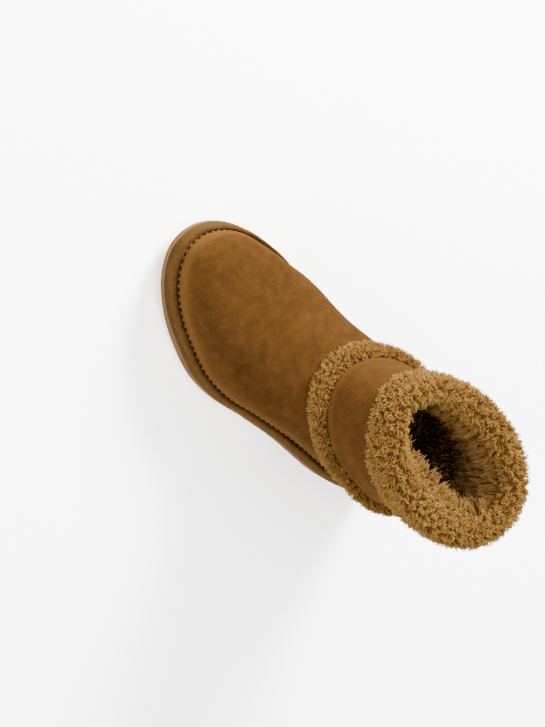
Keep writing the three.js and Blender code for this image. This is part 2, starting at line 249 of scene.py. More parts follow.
def upperPoint(level, angle):
    level, angle = np.broadcast_arrays(np.asarray(level, float), np.asarray(angle, float))
    row = sectionAt(level)
    foot = insetPoint(angle, rand["width"])
    share = lerp(alongShare(angle), (seamHeel - foot[..., 1]) / seamLength, row["outline"])
    y = lerp(row["back"], row["front"], share)
    depth = np.abs(row["front"] - row["back"])
    half = np.where(np.sin(angle) >= 0, row["lateral"], -row["medial"])
    oval = half * rounded((1 - share) * depth, row["nose"]) * rounded(share * depth, row["tail"])
    x = lerp(oval, foot[..., 0] * row["swell"], row["outline"])
    beside = bell(share - slimming["along"], slimming["length"])
    beside = beside * bell(level - slimming["level"], slimming["height"]) * (np.sin(angle) < 0)
    x = x * (1 - slimming["share"] * beside)
    up = lerp(row["backUp"], row["frontUp"], share)
    return np.stack([x, y, seamHeight(y) + up], -1)


def upperNormal(level, angle):
    low = np.maximum(level - 0.8, 0)
    high = np.minimum(level + 0.8, collarLevel)
    around = upperPoint(level, angle + 0.02) - upperPoint(level, angle - 0.02)
    up = upperPoint(high, angle) - upperPoint(low, angle)
    normal = np.cross(up, around)
    return normal / np.linalg.norm(normal, axis=-1, keepdims=True)


def turnFrom(angle, middle):
    # The turn from the middle, given in degrees, as degrees to either side.
    return (np.degrees(angle) - middle + 180) % 360 - 180


def offUpper(level, angle, out):
    # A point off the suede by out. Past the collar's level it goes straight on up.
    on = np.minimum(level, collarLevel)
    point = upperPoint(on, angle) + upperNormal(on, angle) * np.asarray(out)[..., None]
    point[..., 2] += level - on
    return point


def anglesOf(count):
    return np.arange(count) / count * 2 * math.pi


def soleRing(angle, inset, height):
    point = insetPoint(angle, np.broadcast_to(inset, angle.shape))
    return np.column_stack([point, height(point[:, 1])])


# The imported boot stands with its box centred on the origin.
cadFacets = 48
cadRing = soleRing(anglesOf(cadFacets), 0.4, lambda y: soleTop(y) + clearance)
randLow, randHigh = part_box("rand")
randMiddle = (np.array(randLow) + np.array(randHigh)) / 2 / millimetre
shift = (randMiddle - (cadRing.min(0) + cadRing.max(0)) / 2) * (1, 1, 0)
print("shift", shift.round(3))


def addObject(name, data):
    thing = bpy.data.objects.new(name, data)
    bpy.context.scene.collection.objects.link(thing)
    return thing


def meshFrom(name, points, faces, material, edges=()):
    mesh = bpy.data.meshes.new(name)
    mesh.from_pydata(((points + shift) * millimetre).tolist(), edges, faces)
    mesh.materials.append(material)
    mesh.update()
    mesh.shade_smooth()
    return addObject(name, mesh)


def paint(thing, name, values):
    # A value for each point, for the piece's material.
    layer = thing.data.attributes.new(name, "FLOAT", "POINT")
    layer.data.foreach_set("value", values)


def gridFaces(rows, count, closed):
    # Quads between rings that follow each other outside, over the top and down inside.
    i, k = np.meshgrid(np.arange(rows if closed else rows - 1), np.arange(count), indexing="ij")
    a = i * count + k
    b = i * count + (k + 1) % count
    d = (i + 1) % rows * count + k
    c = (i + 1) % rows * count + (k + 1) % count
    return np.stack([a, d, c, b], -1).reshape(-1, 4).tolist()


def capFaces(start, count, flip):
    # Strips across, between points that mirror each other about the long axis.
    faces = []
    for k in range(count // 2):
        a, b = start + k, start + k + 1
        c, d = start + (count - k - 1) % count, start + (count - k) % count
        if k == 0:
            face = [d, c, b]
        elif k + 1 == count // 2:
            face = [a, d, b]
        else:
            face = [a, d, c, b]
        faces.append(face[::-1] if flip else face)
    return faces


def ringPiece(name, rings, material):
    rings = np.asarray(rings)
    faces = gridFaces(len(rings), rings.shape[1], closed=True)
    return meshFrom(name, rings.reshape(-1, 3), faces, material)


def stackPiece(name, rings, material):
    rings = np.asarray(rings)
    count = rings.shape[1]
    faces = gridFaces(len(rings), count, closed=False)
    faces += capFaces(0, count, flip=True)
    faces += capFaces((len(rings) - 1) * count, count, flip=False)
    return meshFrom(name, rings.reshape(-1, 3), faces, material)


# Materials
def linear(hexColour):
    channels = [int(hexColour[i : i + 2], 16) / 255 for i in (1, 3, 5)]
    return [c / 12.92 if c <= 0.04045 else ((c + 0.055) / 1.055) ** 2.4 for c in channels] + [1]


def feed(node, links):
    # Feeds sockets from values, sockets or other nodes. A node gives its first live output.
    for socket, source in links.items():
        if isinstance(source, bpy.types.Node):
            source = next(output for output in source.outputs if output.enabled)
        if isinstance(source, bpy.types.NodeSocket):
            node.id_data.links.new(source, node.inputs[socket])
        else:
            node.inputs[socket].default_value = source


def addNode(tree, kind, links={}, **settings):
    node = tree.nodes.new(kind)
    for name, value in settings.items():
        setattr(node, name, value)
    feed(node, links)
    return node


def newMaterial(name, sockets):
    material = bpy.data.materials.new(name)
    material.use_nodes = True
    shader = material.node_tree.nodes["Principled BSDF"]
    feed(shader, sockets)
    return material, partial(addNode, material.node_tree), shader


def grainOf(add, grains):
    # Patterns, each from its blotches' size in millimetres, its detail and its roughness.
    place = add("ShaderNodeTexCoord").outputs["Object"]
    made = []
    for size, detail, roughness in grains:
        noise = {"Vector": place, "Scale": 1 / (size * millimetre)}
        noise.update({"Detail": detail, "Roughness": roughness})
        made.append(add("ShaderNodeTexNoise", noise))
    return made


def layered(add, colour, layers, blend="MIX"):
    # Lays further colours over the first, each by its own amount.
    for amount, over in layers:
        mixed = {0: amount, 6: colour, 7: over}
        colour = add("ShaderNodeMix", mixed, data_type="RGBA", blend_type=blend)
    return colour


def finishLook(add, shader, colour, height, bump, depth):
    relief = {"Height": height, "Strength": bump, "Distance": depth * millimetre}
    feed(shader, {"Base Color": colour, "Normal": add("ShaderNodeBump", relief)})


# Sockets 1 and 2 of a Map Range are the ends of the range that becomes 0 to 1.
def makeSuede(name, dark, middle, light, patch, nap, bump):
    # Sheepskin suede, buffed: brushing leaves soft lighter and darker patches in the nap.
    look = {"Roughness": 0.92, "Specular IOR Level": 0.15, "Sheen Weight": 0.7}
    look.update({"Sheen Roughness": 0.5, "Sheen Tint": linear(light)})
    material, add, shader = newMaterial(name, look)
    grains = ((patch, 2, 0.5), (patch / 5, 3, 0.6), (nap, 3, 0.7))
    patches, streaks, fine = grainOf(add, grains)
    patches = add("ShaderNodeMapRange", {0: patches, 1: 0.28, 2: 0.74})
    streaks = add("ShaderNodeMapRange", {0: streaks, 1: 0.3, 2: 0.75})
    streaks = add("ShaderNodeMapRange", {0: streaks, 1: 0.1, 2: 4})
    # worn lightens the nap: wear along the upper's seams, and on the rand also a painted highlight
    # on its roll's outer wall.
    worn = add("ShaderNodeAttribute", attribute_name="worn").outputs["Fac"]
    worn = add("ShaderNodeMapRange", {0: worn, 1: 0, 2: 2})
    shade = add("ShaderNodeMapRange", {0: fine, 1: 0.35, 2: 0.9})
    shade = layered(add, [0.8, 0.8, 0.8, 1], [(shade, [1.25, 1.25, 1.25, 1])])
    layers = [(patches, linear(middle)), (streaks, linear(light)), (worn, linear(light))]
    colour = layered(add, linear(dark), layers)
    colour = layered(add, colour, [(1, shade)], "MULTIPLY")
    finishLook(add, shader, colour, fine, bump, 0.4)
    return material


# Pebbles cover the tread's toe, ahead of the last groove, and fainter ones its heel. Each
# pair says where they start and where they are full, in millimetres.
pebbles = {
    "size": 1.8,
    "toe": (-80, -84),
    "heel": (106, 110),
    "heelShare": 0.45,
    "face": (5, 3.5),
    "shade": 0.4,
    "depth": 1.6,
}


def makeFoam(name, dark, middle, light, spark, bump):
    # Moulded closed-cell EVA foam: matt, with the mould's fine spark texture.
    look = {"Roughness": 0.72, "IOR": 1.48, "Specular IOR Level": 0.35}
    material, add, shader = newMaterial(name, look)
    grains = ((30, 3, 0.5), (spark, 2, 0.7), (pebbles["size"], 1, 0.4))
    patches, fine, pits = grainOf(add, grains)
    patches = add("ShaderNodeMapRange", {0: patches, 1: 0.35, 2: 0.65})
    sparks = add("ShaderNodeMapRange", {0: fine, 1: 0.2, 2: 0.5})
    pits = add("ShaderNodeMapRange", {0: pits, 1: 0.42, 2: 0.56})
    pits = add("ShaderNodeMath", {0: 1, 1: pits}, operation="SUBTRACT")
    place = add("ShaderNodeTexCoord").outputs["Object"]
    place = add("ShaderNodeSeparateXYZ", {0: place}).outputs
    covered = {}
    for part, axis in (("toe", "Y"), ("heel", "Y"), ("face", "Z")):
        start, full = pebbles[part]
        edge = {0: place[axis], 1: start * millimetre, 2: full * millimetre}
        covered[part] = add("ShaderNodeMapRange", edge)
    ends = {0: covered["heel"], 1: pebbles["heelShare"], 2: covered["toe"]}
    ends = add("ShaderNodeMath", ends, operation="MULTIPLY_ADD")
    for part in (covered["face"], ends):
        pits = add("ShaderNodeMath", {0: pits, 1: part}, operation="MULTIPLY")
    shade = add("ShaderNodeMath", {0: pits, 1: pebbles["shade"]}, operation="MULTIPLY")
    # Painted shade: the grooves' walls and floors are coloured darker by the deep attribute.
    grooveShade = add("ShaderNodeAttribute", attribute_name="deep").outputs["Fac"]
    grooveShade = add("ShaderNodeMapRange", {0: grooveShade, 1: 0, 2: 1.4})
    face = layered(add, linear(middle), [(patches, linear(light))])
    layers = [(sparks, face), (shade, linear(dark)), (grooveShade, linear(dark))]
    colour = layered(add, linear(dark), layers)
    height = {0: pits, 1: -pebbles["depth"], 2: fine}
    height = add("ShaderNodeMath", height, operation="MULTIPLY_ADD")
    finishLook(add, shader, colour, height, bump, 0.3)
    return material


def makeWool(name, root, middle, tip):
    # Curly sheep's wool: roots lie in shade, tips are bleached lighter by wear.
    look = {"Roughness": 0.9, "Specular IOR Level": 0.2, "Sheen Weight": 0.35}
    look.update({"Sheen Roughness": 0.4, "Sheen Tint": linear(tip)})
    material, add, shader = newMaterial(name, look)
    along = add("ShaderNodeAttribute", attribute_name="tip").outputs["Fac"]
    tone = add("ShaderNodeAttribute", attribute_name="tone").outputs["Fac"]
    low = add("ShaderNodeMapRange", {0: along, 1: 0, 2: tipStart})
    high = add("ShaderNodeMapRange", {0: along, 1: tipStart, 2: 1})
    varied = layered(add, [0.66, 0.64, 0.6, 1], [(tone, [1.24, 1.24, 1.2, 1])])
    colour = layered(add, linear(root), [(low, linear(middle)), (high, linear(tip))])
    feed(shader, {"Base Color": layered(add, colour, [(1, varied)], "MULTIPLY")})
    return material


# Dark, middle and light colour, then the blotches' and the grain's size and the relief.
suede = makeSuede("sheepskinSuede", "#5d3a13", "#6f471c", "#a87636", 34, 1.1, 0.55)
randSuede = makeSuede("wrappedSuedeRand", "#553612", "#65421b", "#b08247", 22, 1.3, 0.6)
# The backing stands for the wool below the locks: a brown near the roots', kept dark as painted
# shade in the gaps between locks.
paintedShadeWoolBacking = makeSuede("paintedShadeWoolBacking", "#7a5322", "#8c632c", "#a2773a", 8, 1.2, 1.0)
darkFleece = makeSuede("shearedFleece", "#5c3f1c", "#745024", "#8a6434", 7, 1.6, 1.0)
thread = makeSuede("waxedThread", "#96703c", "#a87f4a", "#bc9560", 6, 0.8, 0.3)
foam = makeFoam("mouldedFoam", "#8a6238", "#ac8254", "#bb9062", 0.9, 0.5)
# Colours of the roots, the middle and the tips. A lock's tip starts at tipStart of its length.
tipStart = 0.6
wool = makeWool("curlyWool", "#8c5d24", "#cc9a4c", "#e8ba6e")
trimWool = makeWool("shortCurlyWool", "#9e6f31", "#cc9c50", "#e4b66c")
fleeceWool = makeWool("longFleece", "#86602b", "#b98b48", "#d2a662")


# Camera. The photograph's own, fitted to the sole edge, the seam, the trim and the cuff.
camera = {
    "aim": (0, -7.8, 61),
    "azimuth": 24.635,
    "elevation": 53.908,
    "roll": 108.883,
    "distance": 1800,
    "focalPixels": 2583,
    "aimPixel": (314.8, 370.1),
    "frame": (545, 727),
    "sensor": 36,
}


def makeCamera():
    turns = [math.radians(camera[name]) for name in ("azimuth", "elevation", "roll")]
    azimuth, elevation, roll = turns
    flat = math.cos(elevation)
    back = Vector((math.sin(azimuth) * flat, -math.cos(azimuth) * flat, math.sin(elevation)))
    right = Vector((0, 0, 1)).cross(back).normalized()
    up = back.cross(right)
    turnedRight = right * math.cos(roll) + up * math.sin(roll)
    turnedUp = back.cross(turnedRight)
    offRight = (camera["frame"][0] / 2 - camera["aimPixel"][0]) / camera["focalPixels"]
    offUp = (camera["aimPixel"][1] - camera["frame"][1] / 2) / camera["focalPixels"]
    eye = Vector(camera["aim"]) + back * camera["distance"]
    eye += (turnedRight * offRight + turnedUp * offUp) * camera["distance"]
    data = bpy.data.cameras.new("camera")
    data.sensor_width = camera["sensor"]
    data.lens = camera["focalPixels"] / max(camera["frame"]) * camera["sensor"]
    data.clip_start = 0.05
    data.clip_end = 20
    eyeObject = addObject("camera", data)
    axes = Matrix((turnedRight, turnedUp, back)).transposed().to_4x4()
    eyeObject.matrix_world = Matrix.Translation(eye * millimetre) @ axes
    bpy.context.scene.camera = eyeObject
    print("camera made", [round(v, 3) for v in eyeObject.location])


makeCamera()

# Upper
upper = {
    "facets": 288,
    "ringPitch": 1.25,
    "innerPitch": 4,
    "seamTuck": 0.25,  # the suede dives into the stitched seam, below a small swell
    "seamTuckWidth": 1.1,
    "seamSwell": 0.5,
    "seamSwellUp": 3,
    "seamSwellWidth": 2.6,
    "creaseRadius": 55,  # turns a crease's angle into a length
    "flatFrom": 54,  # level at which the ankle trim starts to cover the suede
    "trimSeam": 67.9,  # level of the shaft's lower edge
    "lip": 0.9,  # the shaft's edge stands out over the trim
    "lipGap": 0.7,
    "calfLevel": 92,
    "calfSwell": 1.1,
    "calfHeight": 14,
    "plainFrom": 98,  # level above which the cuff keeps the shaft flat
    "backSeamRadius": 60,
    "backSeamWidth": 1.1,
    "backSeamDepth": 0.5,
    "backSeamRidge": 0.35,
}
# Creases in the suede. level and angle, in degrees, are the middle. across is the width of
# the trough, along half its length, turn its slope, and a negative depth is a trough.
creases = rowsOf(
    "level angle across along turn depth",
    (52, 180, 7, 34, 0, -1.2),
    (60, 180, 6, 30, 0, 1.0),
    (45, 160, 6, 26, 14, -0.7),
    (44, 200, 6, 26, -14, -0.7),
    (50, 110, 6, 24, 20, -0.7),
    (50, 250, 6, 24, -20, -0.6),
    (92, 120, 9, 30, 8, 0.8),
    (88, 230, 9, 30, -6, 0.8),
    (84, 180, 8, 36, 0, 0.9),
    (30, 40, 9, 24, 10, -0.6),
    (34, 320, 9, 24, -10, -0.6),
)


def suedeRelief(level, angle):
    # How far the suede stands off its plain form.
    out = -upper["seamTuck"] * bell(level, upper["seamTuckWidth"])
    out = out + upper["seamSwell"] * bell(level - upper["seamSwellUp"], upper["seamSwellWidth"])
    for crease in creases:
        sideways = np.radians(turnFrom(angle, crease["angle"])) * upper["creaseRadius"]
        upwards = level - crease["level"]
        slope = math.radians(crease["turn"])
        along = sideways * math.cos(slope) + upwards * math.sin(slope)
        across = upwards * math.cos(slope) - sideways * math.sin(slope)
        out = out + crease["depth"] * bell(across, crease["across"]) * bell(along, crease["along"])
    waves = np.sin(angle * 3 + level * 0.07) * 0.25 + np.sin(angle * 7 - level * 0.11 + 1) * 0.12
    out = out + waves * smooth(level / 12)
    # Flat under the ankle trim and under the cuff.
    overTrim = level - upper["trimSeam"]
    underTrim = smooth((level - upper["flatFrom"]) / 3) * smooth(0.4 - overTrim)
    out = out * (1 - underTrim) * (1 - smooth((level - upper["plainFrom"]) / 8))
    out = out + upper["lip"] * smooth(overTrim / 0.8) * (1 - 0.6 * smooth(overTrim / 14))
    out = out - upper["lipGap"] * bell(overTrim + 0.3, 0.6)
    out = out + upper["calfSwell"] * bell(level - upper["calfLevel"], upper["calfHeight"])
    # A sunk seam up the back of the shaft, with its allowances raised on both sides.
    offSeam = np.abs(turnFrom(angle, 0)) * math.radians(1) * upper["backSeamRadius"]
    groove = bell(offSeam, upper["backSeamWidth"] / 2) * smooth(overTrim / 2)
    ridge = bell(offSeam - 2.2, 1.4) * smooth(overTrim / 2)
    return out - upper["backSeamDepth"] * groove + upper["backSeamRidge"] * ridge


def makeUpper():
    angle = anglesOf(upper["facets"])
    near = np.array([0, 0.5, 1, 1.6, 2.3, 3.1, 4])
    seam = upper["trimSeam"] + np.arange(-1.2, 1.6, 0.35)
    low = np.arange(5.2, seam[0], upper["ringPitch"])
    high = np.arange(seam[-1] + 0.6, collarLevel, upper["ringPitch"])
    levels = np.concatenate([near, low, seam, high, [collarLevel]])
    inner = np.arange(collarLevel, 3, -upper["innerPitch"])
    outside = offUpper(levels[:, None], angle[None], suedeRelief(levels[:, None], angle[None]))
    inside = offUpper(inner[:, None], angle[None], np.full((len(inner), len(angle)), -leg["wall"]))
    foot = soleRing(angle, rand["width"] + 0.2, lambda y: soleTop(y) + clearance)
    footIn = soleRing(angle, rand["width"] + leg["wall"], lambda y: soleTop(y) + clearance)
    seamIn = soleRing(angle, rand["width"] + leg["wall"], seamHeight)
    made = ringPiece("sheepskin_upper", [foot, *outside, *inside, seamIn, footIn], suede)
    # The nap is brushed lighter along the seams.
    edges = bell(levels - 6, 5) * 0.9 + bell(levels - upper["trimSeam"] - 2.5, 3) * 0.5
    edges = np.concatenate([[0], edges, np.zeros(len(inner) + 2)])
    paint(made, "worn", np.repeat(edges, len(angle)))
    return made


upperPiece = makeUpper()
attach(upperPiece, "root")
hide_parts("upper")
print("upper made")

# Rand
band = {
    "facets": 384,
    # Inset from the sole's edge, and height over the sole, from the outside to the seam.
    "profile": [
        (2.2, 0),
        (1.4, 0.6),
        (1.1, 2),
        (1.05, 4),
        (1.15, 5.6),
        (1.35, 7.2),
        (1.65, 8.6),
        (2.05, 9.8),
        (2.55, 10.8),
        (3.1, 11.4),
        (3.6, rand["height"] - clearance),
        (4.1, 11.5),
        (4.6, 11.15),
        (5, 10.8),
        (5.4, 10.4),
    ],
    "innerHeight": 9.9,
}


def makeRand():
    angle = anglesOf(band["facets"])
    inner = rand["width"] - clearance

    def ring(inset, up):
        uneven = np.sin(angle * 9) * 0.12 + np.sin(angle * 23 + 2) * 0.08
        return soleRing(angle, inset + uneven * (up > 0), lambda y: soleTop(y) + clearance + up)

    section = [(inner, 0), *band["profile"], (inner, band["innerHeight"])]
    made = ringPiece("suede_rand", [ring(inset, up) for inset, up in section], randSuede)
    # Rubbed light along its outer edge, with a painted highlight on the outer wall of its roll.
    edges = [bell(up - 8, 3) * (inset < 3) * 0.4 for inset, up in section]
    paint(made, "worn", np.repeat(edges, len(angle)))
    return made


randPiece = makeRand()
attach(randPiece, "root")
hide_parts("rand")
print("rand made")

# Outsole
tread = {
    "facets": 256,
    "rows": 9,
    "width": 3.6,
    "depth": 2.4,
    "chamfer": 0.5,
    "wave": 23,
    "firstRow": 37,
    "pitch": 17.5,
    "pitchGrowth": 0.95,
    "amplitude": 9,
    "amplitudeGrowth": 0.8,
    "reach": 0.62,
    "panelLength": 17,
    "panelWidth": 31,
    "panelFromHeel": 93,
    "panelLine": 1.1,
    "lineDepth": 0.6,
    "lineWidth": 0.9,
    "lineDown": 1.9,
}


def makeOutsoleBlank():
    angle = anglesOf(tread["facets"])
    toeward = smooth((alongShare(angle) - sole["toeBevelFrom"]) / (1 - sole["toeBevelFrom"]))
    bevel = lerp(sole["sideBevel"], sole["toeBevel"], toeward)

    def height(share, down):
        return lambda y: lerp(springAt(y), soleTop(y), share) - down

    line = tread["lineDown"]
    half = tread["lineWidth"] / 2
    sunk = 0.5 + tread["lineDepth"]
    wall = rand["width"] + leg["wall"] + clearance
    # Inset, height as a share from the tread up to the top, and millimetres down from there.
    steps = [
        (bevel, 0, 0),
        (0.86 * bevel, 0.03, 0),
        (0.45 * bevel, 0.25, 0),
        (sole["sideDraft"] + 0.3, sole["bevelRise"] - 0.06, 0),
        (sole["sideDraft"], sole["bevelRise"], 0),
        (0.5, 1, line + half),
        (sunk, 1, line + half * 0.6),
        (sunk, 1, line - half * 0.6),
        (0.4, 1, line - half),
        (0.4, 1, 0.5),
        (0.9, 1, 0),
        (wall, 1, 0),
        (wall, 1, -sole["footbedStep"]),
    ]
    rings = [soleRing(angle, inset, height(share, down)) for inset, share, down in steps]
    return stackPiece("foam_outsole", rings, foam)


def cutterPiece(name, outlineAt, base, depth):
    # A cutter from below the tread up into it, wider at the tread face by the chamfer.
    levels = [(-5, tread["chamfer"]), (0, tread["chamfer"]), (tread["chamfer"], 0), (depth, -0.2)]
    points = []
    for up, wider in levels:
        points += [(x, y, base + up) for x, y in outlineAt(wider)]
    count = len(points) // len(levels)
    faces = []
    for i in range(len(levels) - 1):
        for k in range(count):
            a, b = i * count + k, i * count + (k + 1) % count
            faces.append([a, b, b + count, a + count])
    top = (len(levels) - 1) * count
    for k in range(count // 2 - 1):
        a, b, c, d = k, k + 1, count - 2 - k, count - 1 - k
        faces.append([d, c, b, a])
        faces.append([top + a, top + b, top + c, top + d])
    return meshFrom(name, np.array(points, float), faces, foam)


def zigzagOutline(row):
    swing = tread["amplitude"] + tread["amplitudeGrowth"] * row
    place = tread["firstRow"] + tread["pitch"] * row + tread["pitchGrowth"] * row * (row - 1) / 2
    half = tread["wave"] / 2
    turns = math.ceil(sole["ballWidth"] * tread["reach"] / half)
    slant = math.hypot(half, swing) / half

    def outlineAt(wider):
        offset = (tread["width"] / 2 + wider) * slant
        line = [(n * half, heelY - place - (0.5 - n % 2) * swing) for n in range(-turns, turns + 1)]
        return [(x, y - offset) for x, y in line] + [(x, y + offset) for x, y in line[::-1]]

    return outlineAt, springAt(heelY - place)


def keepResult(thing, modifier):
    # The mesh as the modifier leaves it. The modifier is then removed.
    evaluated = thing.evaluated_get(bpy.context.evaluated_depsgraph_get())
    mesh = bpy.data.meshes.new_from_object(evaluated)
    thing.modifiers.remove(modifier)
    return mesh


def cutAway(thing, cutter):
    boolean = thing.modifiers.new("cut", "BOOLEAN")
    boolean.operation = "DIFFERENCE"
    boolean.solver = "EXACT"
    boolean.object = cutter
    thing.data = keepResult(thing, boolean)
    bpy.data.objects.remove(cutter)


def panelOutline(grow):
    # The label field's outline.
    w = tread["panelWidth"] / 2 + grow
    l = tread["panelLength"] / 2 + grow
    middle = heelY - tread["panelFromHeel"]
    return [(-w, middle - l), (w, middle - l), (w, middle + l), (-w, middle + l)]


def makeOutsole():
    blank = makeOutsoleBlank()
    base = springAt(heelY - tread["panelFromHeel"])
    for row in range(tread["rows"]):
        outlineAt, low = zigzagOutline(row)
        cutter = cutterPiece("groove", outlineAt, low, tread["depth"])
        field = cutterPiece("field", lambda wider: panelOutline(0), base, 4 * tread["depth"])
        cutAway(cutter, field)
        cutAway(blank, cutter)
    # A line cut round the bare label field.
    line = tread["panelLine"]

    def innerOutline(wider):
        return panelOutline(-line - 0.4 * wider)

    border = cutterPiece("border", lambda wider: panelOutline(0.4 * wider), base, line)
    cutAway(border, cutterPiece("field", innerOutline, base, 4 * tread["depth"]))
    cutAway(blank, border)
    blank.data.shade_smooth()
    blank.data.set_sharp_from_angle(angle=math.radians(28))
    # Grooves stay darker: painted shade in them.
    points = np.empty(len(blank.data.vertices) * 3)
    blank.data.vertices.foreach_get("co", points)
    x, y, z = (points.reshape(-1, 3) / millimetre - shift).T
    found = outlinePoint(np.arccos(np.clip(1 - 2 * fromHeel(y), -1, 1)) * np.where(x < 0, -1, 1))
    inside = np.abs(found[:, 0]) - np.abs(x) > 1.5 * sole["sideBevel"]
    under = (z < soleTop(y) - 1) & inside
    paint(blank, "deep", smooth((z - springAt(y) - 0.6) / 0.8) * under)
    return blank


outsolePiece = makeOutsole()
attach(outsolePiece, "root")
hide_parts("outsole")
print("outsole made", len(outsolePiece.data.polygons))

# Wool. A lock is a tapered three-sided spiral, planted on a backing and leant into whorls.
pile = {
    "trimWidth": 17,
    "trimDepth": 8,
    "trimDrop": 0.45,
    "trimTuckLow": 1.8,  # the locks lean out over both edges
    "trimTuckHigh": 6.8,
    "skirt": 28,
    "skirtTuck": 6.5,
    "skirtLift": 5,  # the skirt hangs shorter beside the shin's outer side
    "liftAngle": 153,
    "liftSpread": 22,
    "cuffDepth": 9.5,
    "liningDepth": 15,
    "liningReach": 1.4,
    "crown": 10,
    "lockHeight": 3.5,
    "bumps": 0.7,
    "backing": 0.8,  # the backing's height, as a share of the pile without its locks
    "facets": 192,
    "billow": 10,  # the lining bulges in under the collar's outer side
    "billowAngle": 95,
    "billowSpread": 48,
    "thin": 8.8,  # and is thinner at the shin
    "thinAngle": 182,
    "thinSpread": 44,
}
curl = {
    "turns": ((0.55, False), (0.8, True), (1.1, False), (0.7, True)),  # reverse ones are True
    "sides": 3,
    "steps": 4.2,
    "fewestSteps": 5,
    "taper": 0.65,
    "taperPower": 2.5,
    "smallest": 0.7,
    "largest": 1.3,
    "toneSize": 14,
    "whorlTone": 0.35,
    "ownTone": 0.3,
    "broadTone": 0.35,
    "density": 3e6,
    "fullTurn": 6.283,
}
# One row for each pile. The first five are millimetres: the gap between roots, a whorl's
# width, and a lock's length, reach and thickness. Lean turns it in to its whorl's middle,
# Swirl round it, Ruffle any way, and Comb down.
lockRows = rowsOf(
    "pile Spacing Whorl Length Curl Thickness Lean Swirl Ruffle Comb Seed Wool",
    ("skirt", 0.92, 4.2, 4.5, 1.0, 0.45, 1.5, 1.4, 0.16, 0.15, 4, wool),
    ("crown", 0.84, 4.2, 4.7, 1.0, 0.43, 1.5, 1.4, 0.16, 0, 7, wool),
    ("inside", 1.1, 7, 9.5, 0.6, 0.45, 0.8, 0.4, 0.25, 0.9, 8, fleeceWool),
    ("trim", 0.62, 4.6, 3.6, 0.75, 0.33, 0.7, 1.0, 0.3, 0.3, 11, trimWool),
    ("fleece", 2.6, 6, 8, 1.2, 0.8, 1.2, 0.5, 0.5, 0.6, 21, fleeceWool),
)
locks = {row.pop("pile"): row for row in lockRows}
lockLengths = ("Spacing", "Whorl", "Length", "Curl", "Thickness")
lockShares = ("Lean", "Swirl", "Ruffle", "Comb")
for row in locks.values():
    row.update({name: row[name] * millimetre for name in lockLengths})


def newTree(name, inputs):
    # A Geometry Nodes tree with named inputs.
    tree = bpy.data.node_groups.new(name, "GeometryNodeTree")
    for socket, kind in {"Geometry": "Geometry", **inputs}.items():
        tree.interface.new_socket(socket, in_out="INPUT", socket_type="NodeSocket" + kind)
    tree.interface.new_socket("Geometry", in_out="OUTPUT", socket_type="NodeSocketGeometry")
    add = partial(addNode, tree)
    return tree, add, add("NodeGroupInput").outputs


def endTree(add, placed, material):
    # Each tree ends with real geometry, in its material.
    real = add("GeometryNodeRealizeInstances", {0: placed})
    dyed = add("GeometryNodeSetMaterial", {"Geometry": real, "Material": material})
    add("NodeGroupOutput", {0: dyed})


def addLocks(add, given):
    # The locks themselves: spirals from root to tip, thinner towards the tip.
    shapes = add("GeometryNodeJoinGeometry")
    circle = {"Resolution": curl["sides"], "Radius": given["Thickness"]}
    circle = add("GeometryNodeCurvePrimitiveCircle", circle)
    for turns, reverse in curl["turns"]:
        steps = max(curl["fewestSteps"], round(curl["steps"] / turns))
        spiral = {"Resolution": steps, "Rotations": turns, "Reverse": reverse}
        spiral.update({"Start Radius": 0, "End Radius": given["Curl"]})
        spiral["Height"] = given["Length"]
        path = add("GeometryNodeCurveSpiral", spiral)
        along = add("GeometryNodeSplineParameter").outputs["Factor"]
        taper = add("ShaderNodeMath", {0: along, 1: curl["taperPower"]}, operation="POWER")
        taper = {0: taper, 1: -curl["taper"], 2: 1}
        taper = add("ShaderNodeMath", taper, operation="MULTIPLY_ADD")
        path = add("GeometryNodeSetCurveRadius", {"Curve": path, "Radius": taper})
        path = {"Geometry": path, "Name": "tip", "Value": along}
        path = add("GeometryNodeStoreNamedAttribute", path, domain="POINT")
        lock = {"Curve": path, "Profile Curve": circle, "Scale": taper, "Fill Caps": True}
        lock = add("GeometryNodeCurveToMesh", lock)
        lock = add("GeometryNodeSetShadeSmooth", {"Geometry": lock, "Shade Smooth": True})
        lock = add("GeometryNodeGeometryToInstance", {0: lock})
        feed(shapes, {0: lock})
    return shapes


